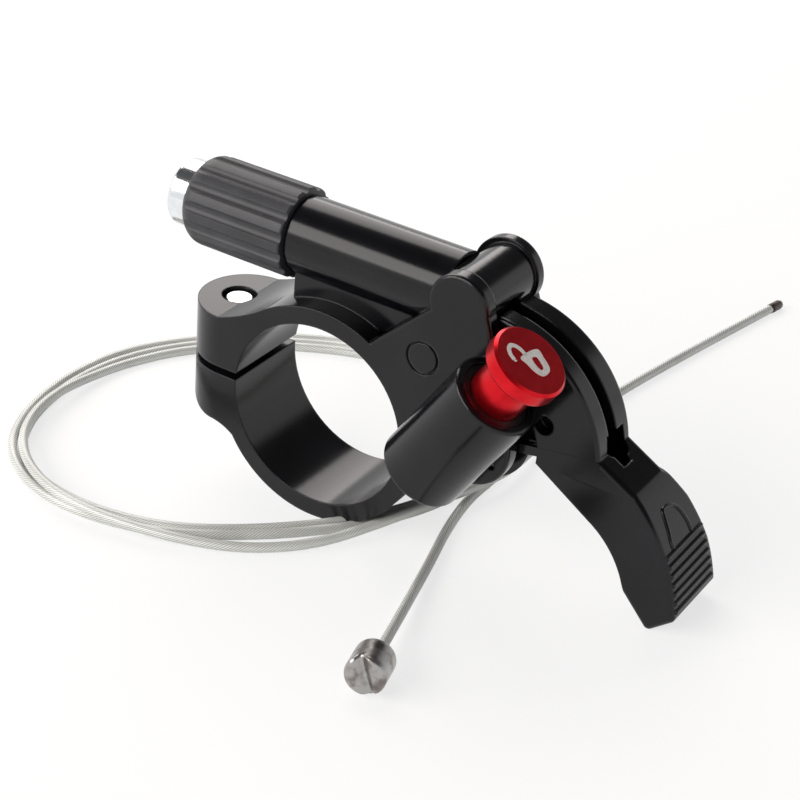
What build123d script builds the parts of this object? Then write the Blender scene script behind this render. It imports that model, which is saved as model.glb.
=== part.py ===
from build123d import *
from math import asin, atan2, cos, hypot, pi, radians, sin, tan
import os

# A fork lockout lever that clamps on a handlebar, in millimetres.
# It is drawn in the handlebar's frame: the bar's centre line is Y, X runs along
# the cable tube towards the lever, and Z runs along the clamp bolt.
# At the end everything is turned about the bar by REST_TILT, so that the clamp
# ring and the tip of the lever stand on one table, with the inner cable on it.

# clearances
RUNNING = 0.05
FREE = 0.1
SIDE = 0.3

# clamp ring and its bolt
BORE_R = 11.1
RING_WALL = 2.15
CLAMP_WIDTH = 12.0
GAP_LOW, GAP_HIGH = 0.35, 1.3
EAR_TOP, EAR_UNDER = 7.6, -5.9
SPOT_FACE = -2.3
SCREW_R = 2.0
SCREW_HEAD_R, SCREW_HEAD = 3.5, 4.0
BOLT_TO_BORE, BOLT_TO_END = 0.6, 1.0
BOLT_ROUND, BOLT_TIP, BOLT_SHORT = 0.4, 0.55, 0.3
BOLT_KEY_R = 1.73

HALF = CLAMP_WIDTH / 2
RING_R = BORE_R + RING_WALL
BOLT_X = -(BORE_R + SCREW_HEAD_R + BOLT_TO_BORE)
EAR_END = BOLT_X - SCREW_HEAD_R - BOLT_TO_END

# cheeks of the body, on both sides of the lever
FRONT_THICK, REAR_THICK = 1.8, 1.5
FRONT_LOBE_R, REAR_LOBE_R = 3.65, 4.0
FRONT_PIVOT_LOBE_R, REAR_PIVOT_LOBE_R = 5.15, 5.6
BOSS_R = 3.45
CHEEK_ROUND = 0.45
CHEEK_FRONT, CHEEK_REAR = FRONT_THICK - HALF, HALF - REAR_THICK

# the lever's pivot, and what is placed from it
PIVOT_OUT, PIVOT_DROP = 6.15, 8.95
PIVOT_HEAD_R, PIVOT_HEAD, PIVOT_HEAD_ROUND = 3.6, 2.0, 0.9
PIVOT_KEY_R, PIVOT_KEY_DEPTH = 1.45, 1.3
PIVOT_END, PIVOT_END_ROOM = 0.4, 0.1
PIVOT_X, PIVOT_Z = RING_R + PIVOT_OUT, RING_R - PIVOT_DROP
BOSS_X, BOSS_Z = PIVOT_X - 2.8, PIVOT_Z + 15.4
MARK_X, MARK_Z = PIVOT_X - 6.4, PIVOT_Z + 8.05
MARK_R, MARK_WIDTH, MARK_DEPTH = 2.0, 0.25, 0.25

# cable tube, with a neck that the adjuster sits on
TUBE_Y, TUBE_RISE = -0.4, 5.35
TUBE_LEFT = -6.2
NECK_R, NECK_LENGTH = 3.9, 9.8
TUBE_STEP = 0.55
TUBE_INTO_BOSS = 0.95
WEB_DOWN, WEB_LEFT, WEB_RIGHT, WEB_SIDE = 1.25, 0.7, 0.35, 1.0
BORE_ROOM = 0.4
CABLE_HOLE_R = 1.1
TUBE_Z, TUBE_R = RING_R + TUBE_RISE, NECK_R + TUBE_STEP
NECK_LEFT = TUBE_LEFT - NECK_LENGTH

# adjuster
SLEEVE_WALL, SLEEVE_OVER = 1.35, 4.6
SLEEVE_ROUND, SLEEVE_EDGE = 2.2, 0.3
FLUTES, FLUTE_R, FLUTE_DEPTH = 14, 0.85, 0.35
FERRULE_OUT, FERRULE_LENGTH, FERRULE_EDGE = 2.3, 4.0, 0.6
CASING_R, CASING_DEPTH = 2.6, 3.1
BARREL_R, BARREL_LENGTH, BARREL_FLAT = 2.5, 14.0, 0.5
CLIP_WIDTH, CLIP_DEPTH, CLIP_FROM_END = 0.5, 0.5, 1.05
CLIP_SPLIT = 2.4
SEAL_DEPTH, SEAL_WIDTH, SEAL_FROM_TUBE = 0.66, 0.66, 2.85
SLEEVE_R, FERRULE_R = NECK_R + SLEEVE_WALL, NECK_R + RUNNING
SLEEVE_LEFT, SLEEVE_RIGHT = NECK_LEFT - SLEEVE_OVER, TUBE_LEFT - 2 * FREE
FERRULE_LEFT = SLEEVE_LEFT - FERRULE_OUT
FERRULE_RIGHT = FERRULE_LEFT + FERRULE_LENGTH
BORE_END = FERRULE_RIGHT + BARREL_LENGTH + BORE_ROOM
CLIP_X, SEAL_X = NECK_LEFT + CLIP_FROM_END, TUBE_LEFT - SEAL_FROM_TUBE

# lever, about its pivot
WASHER_THICK, WASHER_IN = 1.1, 0.8
LEVER_FRONT = CHEEK_FRONT + SIDE
LEVER_REAR = CHEEK_REAR - WASHER_THICK - 2 * FREE
GROOVE_R, GROOVE_DEPTH = 13.1, 1.7
GROOVE_Y, GROOVE_WIDTH = -0.5, 1.9
RIM_R = GROOVE_R + GROOVE_DEPTH
RIM_START, RIM_END, RIM_ROUND = 8.0, 86.0, 0.4
GROOVE_START, GROOVE_END = RIM_START - 6, RIM_END + 3
WEB_R, WEB_START, WEB_END = 10.5, 60.0, 116.0
HUB_R = 5.7
BUSH_R = 2.9
SEAT_ANGLE, SEAT_SINK = 17.0, 0.4
SEAT_Y = GROOVE_Y + 0.5
PAD_FRONT, PAD_REAR = LEVER_FRONT - 1.6, LEVER_REAR + 1.65
PAD_SHOULDER, FLARE_DROP = 0.6, 3.2
ARM_ROUND, TIP_ROUND = 0.6, 0.7
RIBS, RIB_R = 7, 0.27
RIB_FROM, RIB_TO = 0.52, 0.93
RIB_IN = 0.5

# push button; depths are counted from the housing's mouth
BUTTON_LEAN = 32.6
MOUTH_X, MOUTH_Y, MOUTH_Z = PIVOT_X + 4.4, CHEEK_FRONT - 4.7, PIVOT_Z + 9.1
PRESS = 2.4
CAP_R, CAP_FACE, CAP_THICK, CAP_BEVEL, CAP_UNDER = 4.35, 6.33, 2.15, 0.3, 0.5
STEM_R, STEM_FOOT = 3.05, -1.45
COLLAR_THICK = 1.1
FOOT_R, FOOT_THICK = 3.85, 3.45
SPIGOT_R, SPIGOT_LENGTH = 1.25, 2.15
GUIDE_R, GUIDE_LENGTH = 1.5, 4.5
PIN_R, PIN_DEPTH = 0.8, 3.55
PIN_OUT = 2.0
BUTTON_WIRE, BUTTON_TURNS = 0.25, 5
SPRING_ROOM, CUP_FLOOR, CUP_WALL, CUP_ROUND = 5.9, 1.35, 0.97, 0.35
BUTTON_COIL_R = GUIDE_R + BUTTON_WIRE + 0.55
SMALL_BORE_R = BUTTON_COIL_R + BUTTON_WIRE + 0.45
WIDE_BORE_R = FOOT_R + RUNNING
WIDE_BORE_DEPTH = FOOT_THICK - STEM_FOOT + PRESS + 2 * FREE
SMALL_BORE_DEPTH = WIDE_BORE_DEPTH + SPRING_ROOM
HOUSING_R, HOUSING_LENGTH = WIDE_BORE_R + CUP_WALL, SMALL_BORE_DEPTH + CUP_FLOOR
BUTTON_AXIS = Vector(sin(radians(BUTTON_LEAN)), 0, cos(radians(BUTTON_LEAN)))
MOUTH = Vector(MOUTH_X, MOUTH_Y, MOUTH_Z)
PIN = MOUTH - BUTTON_AXIS * PIN_DEPTH

# catch recess in the lever's front face, and the torsion spring's pocket
RECESS_DEPTH = 1.5
RECESS_FLOOR = LEVER_FRONT + RECESS_DEPTH
PIN_SWING = hypot(PIN.X - PIVOT_X, PIN.Z - PIVOT_Z)
RIDE_R = PIN_SWING + PIN_R + FREE
NOTCH_R = RIDE_R + 1.7
OPEN_SIDE, RIDE_START = 29.0, 60.0
OPEN_END_R, OPEN_END_IN = 1.15, 0.35
NOTCH_FROM, NOTCH_TO = 97.0, 109.0
SPRING_WIRE, SPRING_PITCH, SPRING_TURNS = 0.35, 0.8, 3.25
SPRING_R = BUSH_R + SPRING_WIRE + SIDE
SPRING_FRONT_ANGLE = -28.0
SPRING_LEG = 1.4
SPRING_POCKET = RECESS_FLOOR + 1.9
SPRING_REAR = SPRING_POCKET - SPRING_WIRE - FREE

# inner cable, loose on the table: its turns are an oval band
WIRE_R = 0.6
NIPPLE_R, NIPPLE_LENGTH, NIPPLE_EDGE = 2.25, 4.2, 0.3
COIL_X, COIL_Y, COIL_A, COIL_B, COIL_TURN = -14.3, 5.7, 31.0, 24.4, 27.0
COIL_TURNS = 3

UP = (Align.CENTER, Align.CENTER, Align.MIN)
RIGHT = (Align.MIN, Align.CENTER, Align.MIN)
TABLE_Z = -RING_R
WIRE_Z = TABLE_Z + WIRE_R

# profile of the arm and thumb pad in x and z, from the pivot
SHOULDER = (PIVOT_X + 14.5, PIVOT_Z + 2.5)
PAD_START = (PIVOT_X + 19.0, PIVOT_Z)
PAD_BEND = (PIVOT_X + 23.1, PIVOT_Z - 4.6)
TIP_TOP = (PIVOT_X + 26.2, PIVOT_Z - 12.3)
TIP_UNDER = (PIVOT_X + 23.35, PIVOT_Z - 14.6)
KNEE_LOW = (PIVOT_X + 20.1, PIVOT_Z - 11.5)
KNEE = (PIVOT_X + 17.85, PIVOT_Z - 7.35)
KNEE_HIGH = (PIVOT_X + 14.5, PIVOT_Z - 4.7)
ARM_ROOT = (PIVOT_X + 5.2, PIVOT_Z + 0.6)

# route of the loose cable on the table, by hand: from the nipple, and to its cut end
HEAD_ROUTE = [
    (22.35, -27.70, -11.00),
    (20.20, -20.45, -11.65),
    (18.05, -13.10, -12.20),
    (16.00, -5.65, -12.55),
    (14.75, 1.60, WIRE_Z),
]
TIP_ROUTE = [
    (15.10, 17.50, WIRE_Z),
    (15.20, 28.40, WIRE_Z),
    (15.95, 39.90, WIRE_Z),
    (18.00, 51.40, WIRE_Z),
    (20.35, 63.10, WIRE_Z),
    (22.75, 74.70, WIRE_Z),
]


def rod(start, direction, radius, length):
    """A cylinder from a start point along a direction."""
    return Plane(origin=start, z_dir=direction) * Cylinder(radius, length, align=UP)


def across(x, z, radius, y0, y1):
    """A cylinder along Y, from y0 to y1."""
    return rod((x, y0, z), (0, 1, 0), radius, y1 - y0)


def about_pivot(radius, y0, y1):
    return across(PIVOT_X, PIVOT_Z, radius, y0, y1)


def along(radius, x0, x1):
    """A cylinder on the cable tube's axis, from x0 to x1."""
    return rod((x0, TUBE_Y, TUBE_Z), (1, 0, 0), radius, x1 - x0)


def in_housing(radius, s0, s1):
    """A cylinder on the button's axis; s is counted outwards from the mouth."""
    return rod(MOUTH + BUTTON_AXIS * s0, BUTTON_AXIS, radius, s1 - s0)


def plate(edges, y0, y1):
    """A plate from y0 to y1, with an outline in x and z."""
    return Pos(0, y1, 0) * extrude(Plane.XZ * make_face(edges), y1 - y0)


def on_circle(x, z, radius, angle):
    """A point in x and z on a circle about (x, z)."""
    return (x + radius * cos(radians(angle)), z + radius * sin(radians(angle)))


def polar(radius, angle):
    """A point in x and z about the lever's pivot."""
    return on_circle(PIVOT_X, PIVOT_Z, radius, angle)


def sector(radius, start, end, y0, y1):
    """A slice of a disc about the pivot, between two angles."""
    rim = ThreePointArc(polar(radius, start), polar(radius, (start + end) / 2), polar(radius, end))
    sides = [Line((PIVOT_X, PIVOT_Z), rim @ 0), Line(rim @ 1, (PIVOT_X, PIVOT_Z))]
    return plate([sides[0], rim, sides[1]], y0, y1)


def ends_along(solid, axis):
    """The solid's circular edges in order along an axis."""
    return solid.edges().filter_by(GeomType.CIRCLE).sort_by(axis)


def rounded_x(solid, left, right):
    """A turned piece on the cable axis with both end edges rounded."""
    if left:
        solid = fillet(ends_along(solid, Axis.X)[:1], left)
    if right:
        solid = fillet(ends_along(solid, Axis.X)[-1:], right)
    return solid


def clamp_ears():
    """Both ears of the clamp, rounded in plan, before the gap is cut."""
    on_ring_top = (-0.545 * RING_R, 0.838 * RING_R)
    on_ring_low = (-0.69 * RING_R, -0.724 * RING_R)
    top_bend = (-RING_R - 0.75, EAR_TOP)
    low_bend = (EAR_END + 5.6, EAR_UNDER)
    far = EAR_END - 1
    outline = [
        Line((far, EAR_TOP), top_bend),
        ThreePointArc(top_bend, (-0.815 * RING_R, EAR_TOP + 1.3), on_ring_top),
        Line(on_ring_top, (0, 0)),
        Line((0, 0), on_ring_low),
        ThreePointArc(on_ring_low, (-0.83 * RING_R, EAR_UNDER - 1.3), low_bend),
        ThreePointArc(low_bend, (EAR_END + 1.15, -4.4), (far, -0.8)),
        Line((far, -0.8), (far, EAR_TOP)),
    ]
    profile = plate(outline, -HALF, HALF)
    round_x = EAR_END + HALF
    plan = Pos(round_x, 0, 0) * Cylinder(HALF, 4 * RING_R)
    plan += Pos(round_x, 0, 0) * Box(-round_x, CLAMP_WIDTH, 4 * RING_R,
                                     align=(Align.MIN, Align.CENTER, Align.CENTER))
    return profile & plan


def clamp_cuts():
    """The bore for the bar, the gap between the ears and the holes for the bolt."""
    cuts = across(0, 0, BORE_R, -HALF, HALF)
    gap_height = GAP_HIGH - GAP_LOW
    gap = Box(-EAR_END, CLAMP_WIDTH, gap_height, align=(Align.MAX, Align.CENTER, Align.MIN))
    cuts += Pos(-BORE_R + 1.5, 0, GAP_LOW) * gap
    cuts += Pos(BOLT_X, 0, SPOT_FACE) * Cylinder(SCREW_R + 2 * FREE, GAP_LOW - SPOT_FACE, align=UP)
    cuts += Pos(BOLT_X, 0, SPOT_FACE) * Cylinder(
        SCREW_HEAD_R + 2 * FREE, RING_R, align=(Align.CENTER, Align.CENTER, Align.MAX))
    return cuts + Pos(BOLT_X, 0, GAP_HIGH) * Cylinder(SCREW_R + RUNNING, EAR_TOP, align=UP)


def front_cheek():
    """The flat front plate: a lobe at the boss, one at the pivot, and the ring's arm."""
    points = [
        (0.468 * RING_R, 0.883 * RING_R), on_circle(BOSS_X, BOSS_Z, FRONT_LOBE_R, 202),
        (BOSS_X, BOSS_Z), (BOSS_X + FRONT_LOBE_R, BOSS_Z),
        (PIVOT_X + FRONT_PIVOT_LOBE_R, PIVOT_Z + 2.2), (PIVOT_X, PIVOT_Z),
        (PIVOT_X - 1.8, PIVOT_Z - 3.7), (0.936 * RING_R, -0.272 * RING_R),
        (0.377 * RING_R, -0.226 * RING_R),
    ]
    cheek = plate(Polyline(*points, close=True).edges(), -HALF, CHEEK_FRONT)
    cheek += across(BOSS_X, BOSS_Z, FRONT_LOBE_R, -HALF, CHEEK_FRONT)
    cheek += about_pivot(FRONT_PIVOT_LOBE_R, -HALF, CHEEK_FRONT)
    return fillet(cheek.edges().group_by(Axis.Y)[0], CHEEK_ROUND)


def rear_cheek():
    """The rear plate, with larger lobes at the boss and the pivot."""
    lobe_x = BOSS_X - 0.2
    points = [
        (0.302 * RING_R, 0.951 * RING_R), on_circle(lobe_x, BOSS_Z, REAR_LOBE_R, 170),
        (lobe_x, BOSS_Z), (lobe_x + 3.4, BOSS_Z - 1.1),
        on_circle(PIVOT_X, PIVOT_Z, REAR_PIVOT_LOBE_R - 0.2, 27.5), (PIVOT_X, PIVOT_Z),
        (PIVOT_X - 1.8, PIVOT_Z - 4.5), (0.936 * RING_R, -0.272 * RING_R),
        (0.377 * RING_R, -0.226 * RING_R),
    ]
    cheek = plate(Polyline(*points, close=True).edges(), CHEEK_REAR, HALF)
    cheek += across(lobe_x, BOSS_Z, REAR_LOBE_R, CHEEK_REAR, HALF)
    cheek += about_pivot(REAR_PIVOT_LOBE_R, CHEEK_REAR, HALF)
    return fillet(cheek.edges().group_by(Axis.Y)[-1], CHEEK_ROUND)


def button_housing():
    """The leaning cup of the button, flush with the inside of the front cheek."""
    cup = in_housing(HOUSING_R, -HOUSING_LENGTH, 0)
    cup = fillet(cup.edges().filter_by(GeomType.CIRCLE), CUP_ROUND)
    beyond = Box(60, 20, 60, align=(Align.CENTER, Align.MIN, Align.CENTER))
    return cup - Pos(MOUTH_X, CHEEK_FRONT, MOUTH_Z) * beyond


def pin_slot():
    """The slot in the housing's back wall that the catch pin travels in."""
    width = PIN_R + FREE + RUNNING
    upper = PIN + BUTTON_AXIS * (FREE + RUNNING)
    lower = PIN - BUTTON_AXIS * (PRESS + FREE + RUNNING)
    middle = (upper + lower) / 2
    wall = Plane(origin=(middle.X, MOUTH_Y, middle.Z), x_dir=(0, 1, 0), z_dir=BUTTON_AXIS)
    depth = CHEEK_FRONT - MOUTH_Y
    cut = across(upper.X, upper.Z, width, MOUTH_Y, CHEEK_FRONT)
    cut += across(lower.X, lower.Z, width, MOUTH_Y, CHEEK_FRONT)
    return cut + wall * Box(depth, 2 * width, (upper - lower).length,
                            align=(Align.MIN, Align.CENTER, Align.CENTER))


def cable_tube():
    """The tube and its neck, and the web that carries them on the ring."""
    tube = along(TUBE_R, TUBE_LEFT, BOSS_X - BOSS_R + TUBE_INTO_BOSS)
    tube += along(NECK_R, NECK_LEFT, TUBE_LEFT)
    left, right = TUBE_LEFT + WEB_LEFT, BOSS_X - BOSS_R + WEB_RIGHT
    low = RING_R - WEB_DOWN
    width = CHEEK_REAR - CHEEK_FRONT - 2 * WEB_SIDE
    return tube + Pos(left, 0, low) * Box(right - left, width, TUBE_Z - low, align=RIGHT)


def adjuster_bore():
    """A flat-sided bore for the barrel, the cable hole, and the clip and seal grooves."""
    bore = along(BARREL_R + RUNNING, NECK_LEFT, BORE_END) - key_flat(RUNNING)
    bore += along(CABLE_HOLE_R, BORE_END, BOSS_X + BOSS_R)
    bore += neck_groove(CLIP_X, CLIP_WIDTH, CLIP_DEPTH)
    return bore + neck_groove(SEAL_X, SEAL_WIDTH, SEAL_DEPTH)


def neck_groove(middle, width, depth):
    """What a ring's groove takes out of the neck."""
    left, right = middle - width / 2 - FREE, middle + width / 2 + FREE
    return along(NECK_R + 1, left, right) - along(NECK_R - depth, left, right)


def key_flat(lift):
    """A block above the barrel's flat, which keeps the barrel from turning."""
    return Pos((FERRULE_RIGHT + BORE_END) / 2, TUBE_Y, TUBE_Z + BARREL_R - BARREL_FLAT + lift) * Box(
        2 * (BORE_END - FERRULE_RIGHT), 4 * BARREL_R, BARREL_R, align=UP)


def housing_body():
    """Clamp, cheeks, cable tube and button cup, cast in one piece."""
    body = across(0, 0, RING_R, -HALF, HALF) + clamp_ears() + front_cheek() + rear_cheek()
    body += cable_tube() + button_housing()
    body += across(BOSS_X, BOSS_Z, BOSS_R, CHEEK_FRONT, CHEEK_REAR)
    body -= clamp_cuts()
    body -= adjuster_bore()
    body -= in_housing(WIDE_BORE_R, -WIDE_BORE_DEPTH, 0)
    body -= in_housing(SMALL_BORE_R, -SMALL_BORE_DEPTH, 0)
    body -= pin_slot()
    body -= about_pivot(HUB_R + SIDE, CHEEK_FRONT, CHEEK_REAR)
    body -= about_pivot(SCREW_R + RUNNING, PIVOT_END - PIVOT_END_ROOM - HALF, CHEEK_FRONT)
    body -= about_pivot(SCREW_R + FREE, CHEEK_REAR, HALF)
    hole = polar(SPRING_R, SPRING_FRONT_ANGLE)
    body -= across(*hole, SPRING_WIRE + FREE, -HALF, CHEEK_FRONT)
    mark = across(MARK_X, MARK_Z, MARK_R, -HALF, MARK_DEPTH - HALF)
    return body - (mark - across(MARK_X, MARK_Z, MARK_R - MARK_WIDTH, -HALF, 0))


def clamp_bolt():
    """The clamp's socket head screw, its head in the lower ear's spot face."""
    head = Pos(0, 0, -SCREW_HEAD) * Cylinder(SCREW_HEAD_R, SCREW_HEAD, align=UP)
    head = fillet(ends_along(head, Axis.Z)[:1], BOLT_ROUND)
    shank = Cylinder(SCREW_R, EAR_TOP - SPOT_FACE - BOLT_SHORT, align=UP)
    shank = chamfer(ends_along(shank, Axis.Z)[-1:], BOLT_TIP)
    key = extrude(RegularPolygon(BOLT_KEY_R, 6), SCREW_HEAD / 2)
    return Pos(BOLT_X, 0, SPOT_FACE) * (head + shank - Pos(0, 0, -SCREW_HEAD) * key)


def pivot_screw():
    """The pivot's low-headed screw, through the rear cheek into the front one."""
    head = about_pivot(PIVOT_HEAD_R, HALF, HALF + PIVOT_HEAD)
    head = fillet(ends_along(head, Axis.Y)[-1:], PIVOT_HEAD_ROUND)
    key = Plane(origin=(PIVOT_X, HALF + PIVOT_HEAD, PIVOT_Z), z_dir=(0, -1, 0))
    screw = head + about_pivot(SCREW_R, PIVOT_END - HALF, HALF)
    return screw - extrude(key * RegularPolygon(PIVOT_KEY_R, 6), PIVOT_KEY_DEPTH)


def pivot_bush():
    """The plain bush between the cheeks that the lever turns on."""
    bush = about_pivot(BUSH_R, CHEEK_FRONT, CHEEK_REAR)
    return bush - about_pivot(SCREW_R + RUNNING, CHEEK_FRONT, CHEEK_REAR)


def thrust_washer():
    """The washer that takes up the play between the lever and the rear cheek."""
    front, rear = LEVER_REAR + FREE, CHEEK_REAR - FREE
    washer = about_pivot(HUB_R - WASHER_IN, front, rear)
    return washer - about_pivot(BUSH_R + RUNNING, front, rear)


def coil(radius, wire, pitch, turns):
    """A coil of six-sided wire that starts on X and climbs along Z."""
    path = Helix(pitch, pitch * turns, radius)
    section = Plane(origin=path @ 0, z_dir=path % 0) * RegularPolygon(wire, 6)
    return sweep(section, path=path, is_frenet=True)


def return_spring():
    """The torsion spring about the bush: one leg in the front cheek, one in the lever."""
    start = radians(SPRING_FRONT_ANGLE - 360 * SPRING_TURNS)
    climb, angle = SPRING_PITCH * SPRING_TURNS, 360 * SPRING_TURNS
    first = Vector(SPRING_R, 0, 0)
    last = first.rotate(Axis.Z, angle) + Vector(0, 0, climb)
    spring = coil(SPRING_R, SPRING_WIRE, SPRING_PITCH, SPRING_TURNS)
    back = Vector(0, 0, SPRING_WIRE)
    spring += rod(last - back, (0, 0, 1), SPRING_WIRE, HALF - FREE + SPRING_REAR - climb)
    spring += rod(first + back, (0, 0, -1), SPRING_WIRE, SPRING_LEG)
    out = Vector(cos(start), 0, sin(start))
    return Plane(origin=(PIVOT_X, SPRING_REAR, PIVOT_Z), x_dir=out, z_dir=(0, -1, 0)) * spring


def lever_arm():
    """The arm and its flared thumb pad, from one profile and one taper, with rounded upper edges."""
    tip = fillet(make_face([
        Line(ARM_ROOT, SHOULDER), Line(SHOULDER, PAD_START),
        ThreePointArc(PAD_START, PAD_BEND, TIP_TOP), Line(TIP_TOP, TIP_UNDER),
        Line(TIP_UNDER, KNEE_LOW), ThreePointArc(KNEE_LOW, KNEE, KNEE_HIGH),
        Line(KNEE_HIGH, ARM_ROOT),
    ]).vertices().sort_by(Axis.Y)[:2], TIP_ROUND)
    arm = Pos(0, CLAMP_WIDTH, 0) * extrude(Plane.XZ * tip, 2 * CLAMP_WIDTH)
    top, low = SHOULDER[1] - FLARE_DROP, TIP_UNDER[1]
    flare = make_face(Polyline(
        (LEVER_FRONT, SHOULDER[1] + 1), (LEVER_FRONT, top), (PAD_FRONT, low), (PAD_REAR, low),
        (PAD_REAR, KNEE[1]), (PAD_REAR - PAD_SHOULDER, PIVOT_Z - 2.8), (LEVER_REAR, PAD_START[1]),
        (LEVER_REAR, SHOULDER[1] + 1), close=True).edges())
    arm &= extrude(Plane.YZ * flare, 2 * TIP_TOP[0])
    upper = [edge for edge in arm.edges() if runs_along_top(edge)]
    return fillet(upper, ARM_ROUND)


def runs_along_top(edge):
    """Whether an edge of the arm borders its upper faces, apart from the pad's rear side."""
    if abs((edge % 0.5).Y) > 0.6 or edge.length < 1:
        return False
    middle = edge @ 0.5
    if middle.X < SHOULDER[0]:
        return on_line(middle, ARM_ROOT, SHOULDER)
    if middle.X < PAD_START[0]:
        return on_line(middle, SHOULDER, PAD_START)
    pad = ThreePointArc(PAD_START, PAD_BEND, TIP_TOP)
    from_centre = hypot(middle.X - pad.arc_center.X, middle.Z - pad.arc_center.Y)
    return middle.Y < 0 and abs(from_centre - pad.radius) < RUNNING


def on_line(point, start, end):
    """Whether a point lies on the line through two points in x and z."""
    run, rise = end[0] - start[0], end[1] - start[1]
    return abs((point.X - start[0]) * rise - (point.Z - start[1]) * run) < 0.01 * hypot(run, rise)


def thumb_ribs():
    """Round ridges across the lower half of the thumb pad."""
    top = ThreePointArc(PAD_START, PAD_BEND, TIP_TOP)
    ribs = []
    for i in range(RIBS):
        at = top @ (RIB_FROM + (RIB_TO - RIB_FROM) * i / (RIBS - 1))
        share = (SHOULDER[1] - FLARE_DROP - at.Y) / (SHOULDER[1] - FLARE_DROP - TIP_UNDER[1])
        front = LEVER_FRONT + (PAD_FRONT - LEVER_FRONT) * share
        ribs.append(across(at.X, at.Y, RIB_R, front + RIB_IN, PAD_REAR - RIB_IN))
    return ribs


def catch_recess():
    """The path of the catch pin: its open side, the riding wall and the notch."""
    front = LEVER_FRONT - SIDE
    recess = about_pivot(RIDE_R - FREE, front, RECESS_FLOOR)
    for radius, start, end in [(NOTCH_R, OPEN_SIDE, RIDE_START), (RIDE_R, RIDE_START, NOTCH_FROM),
                               (NOTCH_R, NOTCH_FROM, NOTCH_TO)]:
        recess += sector(radius, start, end, front, RECESS_FLOOR)
    end = polar(NOTCH_R - OPEN_END_IN, OPEN_SIDE)
    return recess + across(*end, OPEN_END_R, front, RECESS_FLOOR)


def nipple_seat():
    """The blind bore at the groove's end that the cable's nipple lies in, open at the rim."""
    x, z = polar(GROOVE_R + WIRE_R - SEAT_SINK, SEAT_ANGLE)
    inward = Vector(sin(radians(SEAT_ANGLE)), 0, -cos(radians(SEAT_ANGLE)))
    return rod((x, SEAT_Y, z), inward, NIPPLE_R + FREE, NIPPLE_LENGTH + 2 * FREE)


def lever():
    """The cable sector with its groove, the web with the catch, the arm and the pad."""
    body = sector(RIM_R, RIM_START, RIM_END, LEVER_FRONT, LEVER_REAR)
    body = fillet(body.edges().filter_by(GeomType.CIRCLE), RIM_ROUND) + lever_arm()
    body += about_pivot(HUB_R, LEVER_FRONT, LEVER_REAR)
    body += sector(WEB_R, WEB_START, WEB_END, LEVER_FRONT, LEVER_REAR)
    near, far = GROOVE_Y - GROOVE_WIDTH / 2, GROOVE_Y + GROOVE_WIDTH / 2
    groove = sector(RIM_R + GROOVE_DEPTH, GROOVE_START, GROOVE_END, near, far)
    body -= groove - about_pivot(GROOVE_R, near, far)
    body -= nipple_seat()
    body -= catch_recess()
    body -= about_pivot(SPRING_R + SPRING_WIRE + SIDE, LEVER_FRONT, SPRING_POCKET)
    body -= about_pivot(BUSH_R + RUNNING, LEVER_FRONT, LEVER_REAR)
    foot = polar(SPRING_R, SPRING_FRONT_ANGLE - 360 * SPRING_TURNS)
    body -= across(*foot, SPRING_WIRE + FREE, SPRING_POCKET, SPRING_REAR + SPRING_LEG + FREE)
    for rib in thumb_ribs():
        body += rib
    return body


def push_button():
    """The anodised button: a bevelled cap on a stem, drilled for the foot's spigot."""
    cap = in_housing(CAP_R, CAP_FACE - CAP_THICK, CAP_FACE)
    cap = chamfer(ends_along(cap, Axis.Z)[-1:], CAP_BEVEL)
    cap = fillet(ends_along(cap, Axis.Z)[:1], CAP_UNDER)
    stem = in_housing(STEM_R, STEM_FOOT, CAP_FACE - CAP_THICK)
    return cap + stem - in_housing(SPIGOT_R + RUNNING, STEM_FOOT, STEM_FOOT + SPIGOT_LENGTH + FREE)


def button_foot():
    """The steel foot of the button, which carries the catch pin and guides the spring."""
    bottom = STEM_FOOT - FOOT_THICK
    foot = in_housing(FOOT_R, bottom, STEM_FOOT)
    foot += in_housing(GUIDE_R, bottom - GUIDE_LENGTH, bottom)
    foot += in_housing(SPIGOT_R, STEM_FOOT, STEM_FOOT + SPIGOT_LENGTH)
    return foot - across(PIN.X, PIN.Z, PIN_R, MOUTH_Y - FOOT_R, CHEEK_FRONT)


def catch_pin():
    """The pin through the foot that rides in the lever's recess."""
    return across(PIN.X, PIN.Z, PIN_R, MOUTH_Y - PIN_OUT, RECESS_FLOOR - SIDE)


def button_collar():
    """The black bush in the mouth that the stem slides in and the foot stops against."""
    bottom = STEM_FOOT + FREE
    ring = in_housing(WIDE_BORE_R, bottom, bottom + COLLAR_THICK)
    return ring - in_housing(STEM_R + RUNNING, bottom, bottom + COLLAR_THICK)


def button_spring():
    """The compression spring between the foot and the floor of the bore."""
    bottom = -SMALL_BORE_DEPTH + BUTTON_WIRE + RUNNING
    top = STEM_FOOT - FOOT_THICK - BUTTON_WIRE - RUNNING
    place = Plane(origin=MOUTH + BUTTON_AXIS * bottom, z_dir=BUTTON_AXIS)
    return place * coil(BUTTON_COIL_R, BUTTON_WIRE, (top - bottom) / BUTTON_TURNS, BUTTON_TURNS)


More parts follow.
